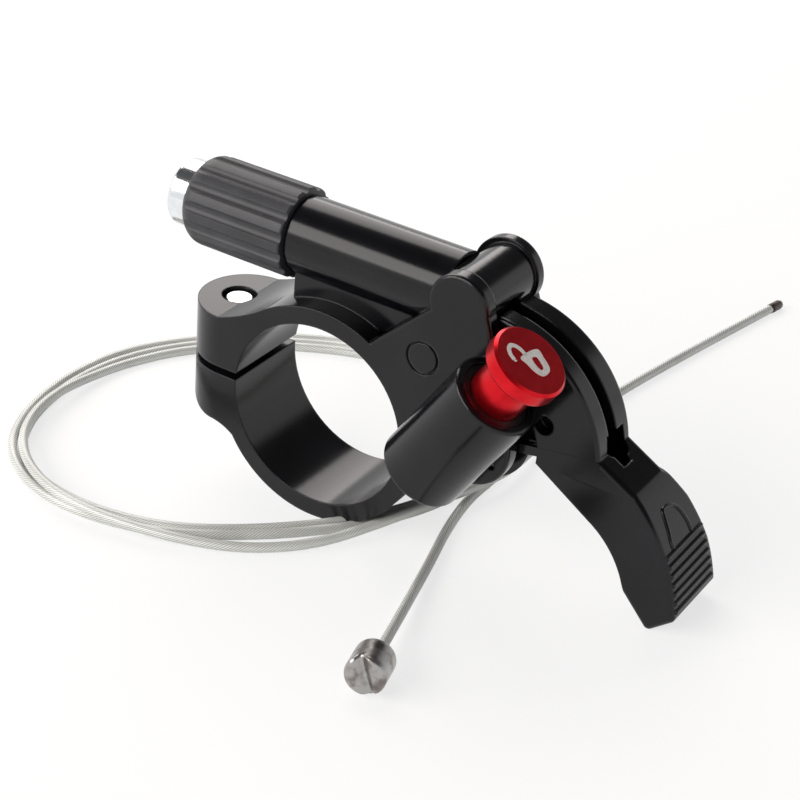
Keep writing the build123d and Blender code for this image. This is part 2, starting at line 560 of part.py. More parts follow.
def adjuster_sleeve():
    """The fluted sleeve that turns on the neck and screws the barrel in or out."""
    sleeve = rounded_x(along(SLEEVE_R, SLEEVE_LEFT, SLEEVE_RIGHT), SLEEVE_ROUND, SLEEVE_EDGE)
    reach = SLEEVE_R + FLUTE_R - FLUTE_DEPTH
    for i in range(FLUTES):
        turn = 2 * pi * (i + 0.5) / FLUTES
        start = (SLEEVE_LEFT, TUBE_Y + reach * cos(turn), TUBE_Z + reach * sin(turn))
        sleeve -= rod(start, (1, 0, 0), FLUTE_R, SLEEVE_RIGHT - SLEEVE_LEFT)
    sleeve -= along(FERRULE_R + FREE, SLEEVE_LEFT, FERRULE_RIGHT + FREE)
    sleeve -= along(BARREL_R + RUNNING, FERRULE_RIGHT, NECK_LEFT)
    sleeve -= along(NECK_R + FREE, NECK_LEFT - FREE, SLEEVE_RIGHT)
    groove = CLIP_WIDTH / 2 + FREE
    return sleeve - along(NECK_R + CLIP_DEPTH + FREE, CLIP_X - groove, CLIP_X + groove)


def adjuster_barrel():
    """The threaded barrel, with the flat that keeps it from turning."""
    barrel = along(BARREL_R, FERRULE_RIGHT, FERRULE_RIGHT + BARREL_LENGTH)
    return barrel - key_flat(0) - along(CABLE_HOLE_R, FERRULE_RIGHT, BORE_END)


def casing_ferrule():
    """The bright cup that the cable's outer casing seats in."""
    cup = rounded_x(along(FERRULE_R, FERRULE_LEFT, FERRULE_RIGHT), FERRULE_EDGE, 0)
    cup -= along(CASING_R, FERRULE_LEFT, FERRULE_LEFT + CASING_DEPTH)
    return cup - along(CABLE_HOLE_R, FERRULE_LEFT, FERRULE_RIGHT)


def sleeve_clip():
    """The split ring in the neck's groove that holds the sleeve on."""
    start, end = CLIP_X - CLIP_WIDTH / 2, CLIP_X + CLIP_WIDTH / 2
    ring = along(NECK_R + CLIP_DEPTH, start, end) - along(NECK_R - CLIP_DEPTH + RUNNING, start, end)
    return ring - Pos(CLIP_X, TUBE_Y, TUBE_Z - NECK_R) * Box(4 * CLIP_WIDTH, CLIP_SPLIT, NECK_R)


def sleeve_seal():
    """The square-cut rubber ring between the neck and the sleeve."""
    start, end = SEAL_X - SEAL_WIDTH / 2, SEAL_X + SEAL_WIDTH / 2
    return along(NECK_R, start, end) - along(NECK_R - SEAL_DEPTH + RUNNING, start, end)


def cable_run(name, route):
    """A tube along straight runs joined by arcs as large as the runs allow."""
    points = [Vector(*point) for point in route]
    runs = [end - start for start, end in zip(points, points[1:])]
    radii = []
    for before, after in zip(runs, runs[1:]):
        half_turn = radians(before.get_angle(after)) / 2
        radii.append(0.45 * min(before.length, after.length) / tan(half_turn))
    path = FilletPolyline(*points, radius=radii)
    tube = sweep(Plane(origin=path @ 0, z_dir=path % 0) * Circle(WIRE_R), path=path)
    print(name, "radii", [round(radius, 1) for radius in radii], "length", round(path.length, 2),
          "volume", round(tube.volume, 2), "section x length", round(pi * WIRE_R**2 * path.length, 2))
    return tube


def cable_nipple():
    """The cast nipple on the cable's head, lying on the table."""
    face, onward = Vector(*HEAD_ROUTE[0]), Vector(*HEAD_ROUTE[1])
    nipple = rod(face, face - onward, NIPPLE_R, NIPPLE_LENGTH)
    return chamfer(nipple.edges().filter_by(GeomType.CIRCLE), NIPPLE_EDGE)


def cable_coil():
    """The outer shape of the cable's turns, lying beside and on each other."""
    half = COIL_TURNS * WIRE_R
    band = Ellipse(COIL_A + half, COIL_B + half) - Ellipse(COIL_A - half, COIL_B - half)
    return Pos(COIL_X, COIL_Y, TABLE_Z) * Rot(0, 0, COIL_TURN) * extrude(band, 3 * WIRE_R)


def rest_tilt():
    """The turn about the bar that brings ring and lever tip onto one table."""
    corner, back, side = Vector(*TIP_UNDER), Vector(*KNEE_LOW), Vector(*TIP_TOP)
    ways = (back - corner).normalized(), (side - corner).normalized()
    middle = (ways[0] + ways[1]).normalized()
    centre = corner + middle * (TIP_ROUND / sin(radians(ways[0].get_angle(ways[1])) / 2))
    reach = hypot(centre.X, centre.Y)
    return (asin((RING_R - TIP_ROUND) / reach) - atan2(-centre.Y, centre.X)) * 180 / pi


REST_TILT = rest_tilt()
ON_BAR = [
    housing_body, clamp_bolt, pivot_screw, pivot_bush, thrust_washer, return_spring, lever,
    push_button, button_foot, catch_pin, button_collar, button_spring,
    adjuster_sleeve, adjuster_barrel, casing_ferrule, sleeve_clip, sleeve_seal,
]
ON_TABLE = {
    "cable_nipple": cable_nipple(),
    "cable_head_run": cable_run("cable_head_run", HEAD_ROUTE),
    "cable_coil": cable_coil(),
    "cable_tip_run": cable_run("cable_tip_run", TIP_ROUTE),
}

os.makedirs("parts", exist_ok=True)
print("rest tilt", round(REST_TILT, 3))
for make in ON_BAR:
    export_step(Rot(0, REST_TILT, 0) * make(), f"parts/{make.__name__}.step")
for node, solid in ON_TABLE.items():
    export_step(solid, f"parts/{node}.step")
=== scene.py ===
import math

import bmesh
import bpy
from mathutils import Matrix, Vector


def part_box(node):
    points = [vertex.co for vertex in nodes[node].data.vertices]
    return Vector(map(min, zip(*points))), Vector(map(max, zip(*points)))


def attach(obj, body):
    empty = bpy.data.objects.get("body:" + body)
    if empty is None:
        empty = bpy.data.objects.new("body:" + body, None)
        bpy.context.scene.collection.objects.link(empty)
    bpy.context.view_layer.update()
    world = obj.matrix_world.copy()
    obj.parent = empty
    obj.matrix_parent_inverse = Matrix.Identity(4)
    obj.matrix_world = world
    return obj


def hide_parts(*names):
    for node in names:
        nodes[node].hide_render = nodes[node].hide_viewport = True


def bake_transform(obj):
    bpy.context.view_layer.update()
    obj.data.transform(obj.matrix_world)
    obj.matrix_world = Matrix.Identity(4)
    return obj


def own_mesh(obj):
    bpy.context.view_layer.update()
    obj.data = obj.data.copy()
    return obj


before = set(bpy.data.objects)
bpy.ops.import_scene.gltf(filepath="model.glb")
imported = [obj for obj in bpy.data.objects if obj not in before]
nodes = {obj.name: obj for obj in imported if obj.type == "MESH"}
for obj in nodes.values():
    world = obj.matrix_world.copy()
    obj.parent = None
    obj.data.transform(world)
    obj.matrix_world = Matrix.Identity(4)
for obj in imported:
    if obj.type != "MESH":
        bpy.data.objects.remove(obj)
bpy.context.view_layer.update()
mm = 0.001
print("frame loaded with", len(nodes), "nodes")


# an sRGB hex colour as linear red, green, blue and alpha
def linear(hexColour):
    parts = [int(hexColour[i:i + 2], 16) / 255 for i in (1, 3, 5)]
    return [c / 12.92 if c <= 0.04045 else ((c + 0.055) / 1.055) ** 2.4 for c in parts] + [1.0]


# the scale of a texture on Object coordinates whose features are this many millimetres wide
def perMm(width):
    return 1000 / width


# adds a node with its settings; an input is given a value, or a link when it is a socket
def addNode(tree, kind, inputs=None, **settings):
    node = tree.nodes.new(kind)
    for name, value in settings.items():
        setattr(node, name, value)
    for key, value in (inputs or {}).items():
        if isinstance(value, bpy.types.NodeSocket):
            tree.links.new(value, node.inputs[key])
        else:
            node.inputs[key].default_value = value
    return node


def newMaterial(name):
    material = bpy.data.materials.new(name)
    material.use_nodes = True
    material.node_tree.nodes.clear()
    return material, material.node_tree


# a new material, its node tree and its Object coordinates
def texturedMaterial(name):
    material, tree = newMaterial(name)
    return material, tree, addNode(tree, "ShaderNodeTexCoord").outputs["Object"]


def closeMaterial(tree, **values):
    sockets = {"colour": "Base Color", "metallic": "Metallic", "roughness": "Roughness", "normal": "Normal",
               "specular": "Specular IOR Level"}
    shader = addNode(tree, "ShaderNodeBsdfPrincipled", {sockets[key]: value for key, value in values.items()})
    addNode(tree, "ShaderNodeOutputMaterial", {"Surface": shader.outputs["BSDF"]})


def noise(tree, coords, width, detail=2.0, roughness=0.5):
    return addNode(tree, "ShaderNodeTexNoise", {
        "Vector": coords, "Scale": perMm(width), "Detail": detail, "Roughness": roughness}).outputs["Fac"]


def ramp(tree, factor, stops):
    node = addNode(tree, "ShaderNodeValToRGB", {"Fac": factor})
    elements = node.color_ramp.elements
    elements.remove(elements[1])
    elements[0].position = stops[0][0]
    for i, (position, colour) in enumerate(stops):
        element = elements.new(position) if i else elements[0]
        element.color = linear(colour) if isinstance(colour, str) else [colour] * 3 + [1.0]
    return node.outputs["Color"]


def between(tree, factor, low, high):
    limits = {"Value": factor, "To Min": low, "To Max": high}
    return addNode(tree, "ShaderNodeMapRange", limits).outputs["Result"]


# small relief, its depth in millimetres
def bump(tree, height, strength, depth, normal=None):
    node = addNode(tree, "ShaderNodeBump", {"Height": height, "Strength": strength, "Distance": depth * mm})
    if normal is not None:
        tree.links.new(normal, node.inputs["Normal"])
    return node.outputs["Normal"]


def roundedEdges(tree, radius, samples):
    return addNode(tree, "ShaderNodeBevel", {"Radius": radius * mm}, samples=samples).outputs["Normal"]


# a mesh object at the origin
def meshObject(name, mesh, material=None, smooth=True):
    piece = bpy.data.objects.new(name, mesh)
    bpy.context.scene.collection.objects.link(piece)
    if material:
        mesh.materials.clear()
        mesh.materials.append(material)
    for face in mesh.polygons:
        face.use_smooth = smooth
    return piece


def dress(material, *names):
    for name in names:
        mesh = nodes[name].data
        mesh.materials.clear()
        mesh.materials.append(material)


# a finished bmesh as a mesh, its faces outward
def formMesh(form, name):
    bmesh.ops.recalc_face_normals(form, faces=form.faces)
    mesh = bpy.data.meshes.new(name)
    form.to_mesh(mesh)
    form.free()
    return mesh


def curveData(name, lines, kind="POLY", closed=False, dimensions="3D", **settings):
    data = bpy.data.curves.new(name, "CURVE")
    data.dimensions = dimensions
    for key, value in settings.items():
        setattr(data, key, value)
    for line in lines:
        spline = data.splines.new(kind)
        spline.points.add(len(line) - 1)
        for point, place in zip(spline.points, line):
            point.co = [*place, 1]
        spline.use_cyclic_u = closed
    return data


# an object as a plain mesh with its modifiers applied; the object goes
def plainMesh(piece):
    bpy.context.view_layer.update()
    depsgraph = bpy.context.evaluated_depsgraph_get()
    mesh = bpy.data.meshes.new_from_object(piece.evaluated_get(depsgraph), depsgraph=depsgraph)
    bpy.data.objects.remove(piece)
    return mesh


def curveMesh(data):
    curve = bpy.data.objects.new(data.name, data)
    bpy.context.scene.collection.objects.link(curve)
    return plainMesh(curve)


# a round wire through points in millimetres
def wireMesh(name, points, radius, resolution):
    return curveMesh(curveData(name, [[point * mm for point in points]], bevel_depth=radius * mm,
                               bevel_resolution=resolution, use_fill_caps=True))


camera = {
    "place": (0.114971, -0.172371, 0.113307), "turned": (61.187, -0.791, 32.390),
    "lens": 93.06, "sensor": 36, "nearest": 0.01, "farthest": 10,
}


def placeCamera():
    data = bpy.data.cameras.new("photoCamera")
    data.lens, data.sensor_width = camera["lens"], camera["sensor"]
    data.clip_start, data.clip_end = camera["nearest"], camera["farthest"]
    eye = bpy.data.objects.new("photoCamera", data)
    eye.location = camera["place"]
    eye.rotation_euler = [math.radians(a) for a in camera["turned"]]
    bpy.context.scene.collection.objects.link(eye)
    bpy.context.scene.camera = eye


placeCamera()
print("camera placed")


# the loose inner cable, in millimetres: its nipple end, three turns, and its cut end.
# The turns follow one oval. Each table has the angle turned and how far outside the oval the strand is there,
# and rides has the angle and how high it lies on the strands below
cable = {
    "headRoute": [(22.35, -27.7, -11.0), (20.35, -20.9, -11.65), (18.3, -13.9, -12.2),
                  (16.35, -7.3, -12.65), (14.45, -0.8, -12.65)],
    "tipRoute": [(13.9, 21.5, -12.3), (14.6, 28.4, -12.65), (15.95, 39.9, -12.65), (18.0, 51.4, -12.65),
                 (20.35, 63.1, -12.65), (22.75, 74.7, -12.65)],
    "centre": (-14.3, 5.7), "halfAxes": (31.0, 24.4), "turned": 27.0, "floor": -12.65,
    "start": -32.0, "end": 1066.0, "steps": 73,
    "firstTurn": [(-32, -2.2), (-22, -2.45), (-10, -2.1), (5, -1.1), (20, 0.1), (45, 1.2), (73, 1.78),
                  (90, 1.92), (116, 2.0), (126, 2.6), (135, 2.2), (146, 1.15), (156, 0.6), (166, 0.25),
                  (176, 0.25), (187, 0.7), (196, 1.05), (213, 1.1), (220, 1.15), (229, 0.9), (237, 0.45),
                  (250, 0.1), (259, -0.7), (265, -1.3), (274, -2.2), (289, -2.9), (297, -3.1), (306, -3.25),
                  (320, -3.6), (338, -3.8), (350, -3.4)],
    "secondTurn": [(380, -1.2), (405, -0.05), (433, 0.42), (450, 0.57), (476, 0.68), (486, 0.9), (495, 0.5),
                   (506, -0.15), (516, -0.7), (526, -1.05), (536, -1.05), (547, -0.6), (556, -0.22),
                   (573, -0.15), (580, -0.3), (589, -0.6), (597, -0.85), (610, -1.15), (619, -1.9),
                   (625, -2.5), (634, -3.45), (649, -4.2), (657, -4.4), (666, -4.55), (680, -4.9),
                   (698, -5.1), (710, -4.7)],
    "thirdTurn": [(740, -2.5), (765, -1.33), (793, -0.85), (810, -0.7), (836, -0.57), (846, -0.5),
                  (855, -0.95), (866, -1.6), (876, -2.15), (886, -2.2), (896, -1.85), (907, -0.9),
                  (916, -0.45), (925, 0.1), (933, 0.45), (940, 0.8), (949, 1.25), (957, 1.2), (970, 1.1),
                  (994, 1.05), (1009, -0.1), (1017, -1.2), (1026, -1.95), (1035, -2.3), (1044, -2.1),
                  (1056, -1.4), (1066, -0.5)],
    "rides": [(862, 0), (872, 0.5), (886, 1.25), (900, 1.3), (949, 1.3), (957, 1.15), (972, 0.7), (986, 0),
              (1004, 0), (1016, 0.6), (1026, 1.3), (1044, 1.35), (1060, 1.35), (1066, 1.1)],
    "length": 0.62, "diameter": 1.2, "smoothness": 12,
    "wires": 12, "layLength": -5.5, "ringSpacing": 0.25, "grooveDepth": 0.055,
}


# the value of a table of (angle, value) at an angle
def atAngle(table, angle):
    if angle <= table[0][0]:
        return table[0][1]
    for (low, before), (high, after) in zip(table, table[1:]):
        if angle <= high:
            return before + (after - before) * (angle - low) / (high - low)
    return table[-1][1]


def coilPoints():
    points = []
    turn = math.radians(cable["turned"])
    step = (cable["end"] - cable["start"]) / cable["steps"]
    # a spline of order 3 passes inside its points, so they lie further out
    lift = 8 / (6 + 2 * math.cos(math.radians(step)))
    offsets = cable["firstTurn"] + cable["secondTurn"] + cable["thirdTurn"]
    for i in range(cable["steps"] + 1):
        angle = cable["start"] + i * step
        t = math.radians(angle)
        a, b = cable["halfAxes"]
        along = Vector((a * math.cos(t), b * math.sin(t)))
        normal = Vector((math.cos(t) / a, math.sin(t) / b)).normalized()
        spot = Matrix.Rotation(turn, 2) @ (along * lift + normal * atAngle(offsets, angle))
        points.append((spot.x + cable["centre"][0], spot.y + cable["centre"][1],
                       cable["floor"] + atAngle(cable["rides"], angle)))
    return points


def cableRoute():
    points = [[c * mm for c in place] for place in cable["headRoute"] + coilPoints() + cable["tipRoute"]]
    data = curveData("cableRoute", [points], "NURBS", resolution_u=cable["smoothness"])
    spline = data.splines[0]
    spline.order_u = 3
    spline.use_endpoint_u = True
    return curveMesh(data)


# a strand of round wires laid round a path: rings along it, each a twelve-lobed section turned a bit more
def strandTree():
    tree = bpy.data.node_groups.new("laidStrand", "GeometryNodeTree")
    ports = tree.interface
    ports.new_socket("Geometry", in_out="INPUT", socket_type="NodeSocketGeometry")
    for name in ("Ring spacing", "Lay length", "Crown radius", "Groove radius"):
        ports.new_socket(name, in_out="INPUT", socket_type="NodeSocketFloat")
    ports.new_socket("Wires", in_out="INPUT", socket_type="NodeSocketInt")
    ports.new_socket("Finish", in_out="INPUT", socket_type="NodeSocketMaterial")
    ports.new_socket("Geometry", in_out="OUTPUT", socket_type="NodeSocketGeometry")
    given = addNode(tree, "NodeGroupInput").outputs
    line = addNode(tree, "GeometryNodeMeshToCurve", {"Mesh": given["Geometry"]})
    line = addNode(tree, "GeometryNodeResampleCurve",
                   {"Curve": line.outputs["Curve"], "Length": given["Ring spacing"]}, mode="LENGTH")
    along = addNode(tree, "GeometryNodeSplineParameter").outputs["Length"]
    turns = addNode(tree, "ShaderNodeMath", {0: along, 1: given["Lay length"]}, operation="DIVIDE")
    angle = addNode(tree, "ShaderNodeMath", {0: turns.outputs[0], 1: math.tau}, operation="MULTIPLY")
    line = addNode(tree, "GeometryNodeSetCurveTilt",
                   {"Curve": line.outputs["Curve"], "Tilt": angle.outputs[0]})
    star = addNode(tree, "GeometryNodeCurveStar", {
        "Points": given["Wires"], "Inner Radius": given["Groove radius"],
        "Outer Radius": given["Crown radius"]})
    # the section's inner points, the grooves between the wires, are marked so that the strand's material can
    # paint shade into them
    odd = addNode(tree, "ShaderNodeMath", {0: addNode(tree, "GeometryNodeInputIndex").outputs[0], 1: 2.0},
                  operation="MODULO")
    section = addNode(tree, "GeometryNodeStoreNamedAttribute", {
        "Geometry": star.outputs["Curve"], "Name": "groove", "Value": odd.outputs[0]},
        data_type="FLOAT", domain="POINT")
    strand = addNode(tree, "GeometryNodeCurveToMesh", {
        "Curve": line.outputs["Curve"], "Profile Curve": section.outputs["Geometry"], "Fill Caps": True})
    strand = addNode(tree, "GeometryNodeRealizeInstances", {"Geometry": strand.outputs["Mesh"]})
    strand = addNode(tree, "GeometryNodeSetMaterial",
                     {"Geometry": strand.outputs["Geometry"], "Material": given["Finish"]})
    addNode(tree, "NodeGroupOutput", {"Geometry": strand.outputs["Geometry"]})
    return tree


def giveInputs(modifier, tree, values):
    for item in tree.interface.items_tree:
        if item.in_out == "INPUT" and item.name in values:
            modifier[item.identifier] = values[item.name]


# a turned solid round an axis, from rings of radius and distance along it
def turned(name, start, axis, rings, segments):
    axis = Vector(axis).normalized()
    side = axis.orthogonal().normalized()
    other = axis.cross(side)
    form = bmesh.new()
    loops = []
    for radius, along in rings:
        middle = Vector(start) + axis * along
        angles = [math.tau * i / segments for i in range(segments)] if radius else [0.0]
        loops.append([form.verts.new((middle + radius * (side * math.cos(a) + other * math.sin(a))) * mm)
                      for a in angles])
    for low, high in zip(loops, loops[1:]):
        for i in range(segments):
            j = (i + 1) % segments
            corners = [low[i % len(low)], low[j % len(low)], high[j % len(high)], high[i % len(high)]]
            form.faces.new([v for n, v in enumerate(corners) if v not in corners[:n]])
    return formMesh(form, name)


# galvanised steel strand: fine wires laid side by side, dull zinc grey, with painted shade darkening the
# colour from each wire's crown down into the grooves between them
def strandMaterial():
    look = {"crown": "#eceeea", "side": "#dddfdb", "groove": "#a4a6a2", "dull": 0.82, "patch": 9.0,
            "metallic": 0.2, "roughness": (0.38, 0.52)}
    material, tree, coords = texturedMaterial("galvanisedStrand")
    # painted shade: the colour runs from light on the wires' crowns to dark in the grooves between them
    groove = addNode(tree, "ShaderNodeAttribute", attribute_name="groove").outputs["Fac"]
    colour = ramp(tree, groove, [(0.0, look["crown"]), (0.35, look["side"]), (1.0, look["groove"])])
    patches = noise(tree, coords, look["patch"])
    shade = ramp(tree, patches, [(0.3, look["dull"]), (0.7, 1.0)])
    colour = addNode(tree, "ShaderNodeMix", {"Factor": 1.0, "A": colour, "B": shade},
                     data_type="RGBA", blend_type="MULTIPLY")
    closeMaterial(tree, colour=colour.outputs["Result"], metallic=look["metallic"],
                  roughness=between(tree, patches, *look["roughness"]))
    return material


strandFinish = strandMaterial()
cableLine = cableRoute()
cablePath = [tuple(v.co) for v in cableLine.vertices]


def makeCable():
    line = meshObject("cableLine", cableLine)
    tree = strandTree()
    modifier = line.modifiers.new("strand", "NODES")
    modifier.node_group = tree
    radius = cable["diameter"] / 2 * mm
    giveInputs(modifier, tree, {
        "Ring spacing": cable["ringSpacing"] * mm, "Lay length": cable["layLength"] * mm,
        "Crown radius": radius, "Groove radius": radius - cable["grooveDepth"] * mm,
        "Wires": cable["wires"], "Finish": strandFinish})
    return meshObject("inner_cable", plainMesh(line))


# cast zinc alloy, tumbled and a little stained: dull grey, pitted, darker where it was handled
def zincMaterial():
    look = {"clean": "#a9a7a5", "stain": "#837c78", "dark": "#565556", "stainWidth": 1.7, "pit": 0.28,
            "pitDepth": 0.04, "roughness": (0.22, 0.42)}
    material, tree, coords = texturedMaterial("castZincAlloy")
    stain = noise(tree, coords, look["stainWidth"], 4)
    pits = noise(tree, coords, look["pit"], 3, 0.6)
    colour = ramp(tree, stain, [(0.28, look["dark"]), (0.4, look["stain"]), (0.52, look["clean"])])
    closeMaterial(tree, colour=colour, metallic=1.0, roughness=between(tree, pits, *look["roughness"]),
                  normal=bump(tree, pits, 0.6, look["pitDepth"]))
    return material


# the cable's cut end, fused by heat: scorched steel, rounded over
def fusedMaterial():
    look = {"burnt": "#2f2a28", "bare": "#6b625d", "scorch": 0.9, "depth": 0.05,
            "metallic": 0.8, "roughness": 0.45}
    material, tree, coords = texturedMaterial("fusedWireEnd")
    scorch = noise(tree, coords, look["scorch"], 3)
    colour = ramp(tree, scorch, [(0.35, look["burnt"]), (0.65, look["bare"])])
    closeMaterial(tree, colour=colour, metallic=look["metallic"], roughness=look["roughness"],
                  normal=bump(tree, scorch, 0.5, look["depth"]))
    return material


# the nipple is a short drum, dimpled at one end. The other end is two lobes with a valley between them.
# It is measured from the cable's end, in millimetres
nipple = {
    "radius": 2.25, "length": 4.2, "edge": 0.35, "segments": 56,
    "dimple": [(0, 0.25), (0.75, 0.2), (1.2, 0.05), (1.69, 0)],
    "sideRings": 6, "faceRings": 8, "faceStep": 0.2,
    "valley": 0.55, "valleyWidth": 0.5, "valleyTurn": -28.0, "valleyReach": 0.4,
    "lobe": 0.12, "lobePlace": 1.15, "lobeWidth": 0.6,
}


def nippleRings():
    r, l, e = nipple["radius"], nipple["length"], nipple["edge"]
    rounding = (0.0, 0.5, 1.0, math.pi / 2)
    rings = nipple["dimple"] + [(r - e + e * math.sin(a), e - e * math.cos(a)) for a in rounding]
    rings += [(r, l * k / nipple["sideRings"]) for k in range(1, nipple["sideRings"])]
    rings += [(r - e + e * math.cos(a), l - e + e * math.sin(a)) for a in rounding]
    return rings + [(r - e - nipple["faceStep"] * k, l) for k in range(1, nipple["faceRings"] + 1)] + [(0, l)]


def makeNipple():
    face, onward = Vector(cable["headRoute"][0]), Vector(cable["headRoute"][1])
    axis = (face - onward).normalized()
    mesh = turned("nippleForm", face, axis, nippleRings(), nipple["segments"])
    across = Matrix.Rotation(math.radians(nipple["valleyTurn"]), 3, axis) @ axis.orthogonal().normalized()
    for vert in mesh.vertices:
        place = vert.co / mm - face
        depth = place.dot(axis)
        if depth > nipple["length"] - nipple["valleyReach"]:
            side = place.dot(across)
            edge = 1 - min(1, (place - axis * depth).length / nipple["radius"]) ** 4
            dip = nipple["valley"] * math.exp(-(side / nipple["valleyWidth"]) ** 2)
            lobe = math.exp(-((abs(side) - nipple["lobePlace"]) / nipple["lobeWidth"]) ** 2)
            vert.co -= axis * (dip - nipple["lobe"] * edge * lobe) * mm
    return meshObject("cable_head", mesh, zincMaterial())


# the fused end: radius and distance back from the cable's end
fusedEnd = {
    "rings": [(0, -0.12), (0.3, -0.08), (0.52, 0.05), (0.64, 0.3), (0.68, 0.7), (0.65, 1.2), (0.68, 1.7),
              (0.66, 2.15), (0.6, 2.4), (0.4, 2.45), (0, 2.45)],
    "segments": 24,
}


def makeTip():
    end, before = Vector(cablePath[-1]) / mm, Vector(cablePath[-4]) / mm
    mesh = turned("tipForm", end, before - end, fusedEnd["rings"], fusedEnd["segments"])
    return meshObject("cable_tip", mesh, fusedMaterial())


innerCable, cableHead, cableTip = makeCable(), makeNipple(), makeTip()
for piece in (innerCable, cableHead, cableTip):
    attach(piece, "clamp")
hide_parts("cable_head_run", "cable_coil", "cable_tip_run")
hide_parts("cable_nipple")
print("cable laid,", len(innerCable.data.polygons), "faces")


# black paint on an aluminium casting: a deep gloss with a faint orange peel, edges a little rounded by it
def paintMaterial(name, edge):
    look = {"deep": "#070709", "thin": "#101015", "cloud": 7.0, "peel": 0.9, "peelDepth": 0.012,
            "roughness": (0.13, 0.2), "specular": 0.33}
    material, tree, coords = texturedMaterial(name)
    cloud = noise(tree, coords, look["cloud"], 3)
    peel = noise(tree, coords, look["peel"], 2)
    colour = ramp(tree, cloud, [(0.35, look["deep"]), (0.75, look["thin"])])
    rounded = roundedEdges(tree, edge, 6) if edge else None
    closeMaterial(tree, colour=colour, roughness=between(tree, cloud, *look["roughness"]),
                  specular=look["specular"], normal=bump(tree, peel, 0.35, look["peelDepth"], rounded))
    return material


# satin red anodising on turned aluminium: a coloured metal sheen with a fine grain
def anodisedMaterial():
    look = {"deep": "#c4101b", "light": "#d61c27", "cloud": 1.6, "grain": 0.12, "grainDepth": 0.01,
            "metallic": 0.9, "roughness": 0.28}
    material, tree, coords = texturedMaterial("redAnodisedAluminium")
    cloud = noise(tree, coords, look["cloud"], 2)
    grain = noise(tree, coords, look["grain"], 2)
    colour = ramp(tree, cloud, [(0.3, look["deep"]), (0.7, look["light"])])
    closeMaterial(tree, colour=colour, metallic=look["metallic"], roughness=look["roughness"],
                  normal=bump(tree, grain, 0.25, look["grainDepth"]))
    return material


# a bare or plated metal with fine marks
def metalMaterial(name, dark, light, roughness, width=0.5, depth=0.01):
    material, tree, coords = texturedMaterial(name)
    marks = noise(tree, coords, width, 3)
    colour = ramp(tree, marks, [(0.3, dark), (0.7, light)])
    closeMaterial(tree, colour=colour, metallic=1.0, roughness=roughness,
                  normal=bump(tree, marks, 0.3, depth))
    return material


# a moulded plastic or rubber with a fine grain and soft edges
def mouldedMaterial(name, dark, light, roughness, grain=0.25):
    look = {"cloud": 3.0, "grainDepth": 0.02, "edge": 0.15}
    material, tree, coords = texturedMaterial(name)
    cloud = noise(tree, coords, look["cloud"], 2)
    fine = noise(tree, coords, grain, 2)
    colour = ramp(tree, cloud, [(0.3, dark), (0.7, light)])
    closeMaterial(tree, colour=colour, roughness=roughness,
                  normal=bump(tree, fine, 0.35, look["grainDepth"], roundedEdges(tree, look["edge"], 4)))
    return material


paint = paintMaterial("glossPaintOnCasting", 0.3)
dress(paint, "housing_body", "lever")
dress(anodisedMaterial(), "push_button")
# bright zinc plating on steel
dress(metalMaterial("zincPlatedSteel", "#a7a8aa", "#c9cacc", 0.28), "clamp_bolt", "button_foot", "catch_pin")
# polished nickel plating
dress(metalMaterial("brightNickelPlate", "#d9dcdf", "#eceef0", 0.12, 1.5, 0.004),
      "casing_ferrule", "adjuster_barrel")
# bare drawn spring wire
dress(metalMaterial("springWire", "#6f7072", "#97989a", 0.35),
      "return_spring", "button_spring", "sleeve_clip")
# turned brass
dress(metalMaterial("turnedBrass", "#a98436", "#c7a14f", 0.3), "pivot_bush")
# steel blackened in a hot oxide bath
dress(metalMaterial("blackOxideSteel", "#1a1a1c", "#2a2a2d", 0.3), "pivot_screw")
# hard dark plastic with a fine grain
dress(mouldedMaterial("mouldedSleevePlastic", "#232326", "#2e2e33", 0.48), "adjuster_sleeve")
# slippery black acetal
dress(mouldedMaterial("mouldedAcetal", "#0c0c0d", "#151517", 0.38), "button_collar")
# dark grey nylon
dress(mouldedMaterial("mouldedNylon", "#1c1c1e", "#29292b", 0.5), "thrust_washer")
# matt black rubber
dress(mouldedMaterial("sealRubber", "#0b0b0b", "#141414", 0.7, 0.4), "sleeve_seal")
print("frame pieces dressed")


# the sign printed on the button, in millimetres on its face. The button slides along its axis
button = {
    "face": (28.537, -8.9, 16.641), "axis": (0.6003923, 0, 0.7997056),
    "signHeight": 0.03, "stroke": 0.5,
    "shackle": [(-1.9, -1.1), (-1.86, -1.75), (-1.45, -2.32), (-0.85, -2.5), (-0.35, -2.15), (-0.12, -1.55),
                (-0.13, -0.8)],
    "body": [(-0.88, -0.95), (1.83, -0.6), (1.75, 0.55), (1.32, 1.75), (0.55, 2.1), (-0.4, 1.95),
             (-0.88, 1.05), (-0.95, 0.0)],
    "slot": [(0.3, -0.15), (0.95, 0.05), (0.85, 0.75), (0.55, 1.38), (0.05, 1.32), (0.02, 0.5)],
}


# points on a smooth line through the given ones
def smoothLoop(points, closed, cuts=6):
    out = []
    n = len(points)
    spans = n if closed else n - 1
    for i in range(spans):
        p = [Vector(points[(i + k) % n] if closed else points[min(max(i + k, 0), n - 1)])
             for k in (-1, 0, 1, 2)]
        for j in range(cuts):
            t = j / cuts
            out.append(0.5 * (2 * p[1] + (p[2] - p[0]) * t + (2 * p[0] - 5 * p[1] + 4 * p[2] - p[3]) * t ** 2
                              + (3 * p[1] - p[0] - 3 * p[2] + p[3]) * t ** 3))
    if not closed:
        out.append(Vector(points[-1]))
    return out


# the outline of a stroke with a round start
def strokeOutline(points, width):
    line = smoothLoop(points, False)
    left, right = [], []
    for i, spot in enumerate(line):
        way = (line[min(i + 1, len(line) - 1)] - line[max(i - 1, 0)]).normalized()
        side = Vector((-way.y, way.x)) * width / 2
        left.append(spot + side)
        right.append(spot - side)
    way = (line[0] - line[1]).normalized() * width / 2
    cap = [line[0] + Matrix.Rotation(a, 2) @ way for a in (-1.0, -0.5, 0, 0.5, 1.0)]
    return left[1:] + right[:0:-1] + cap


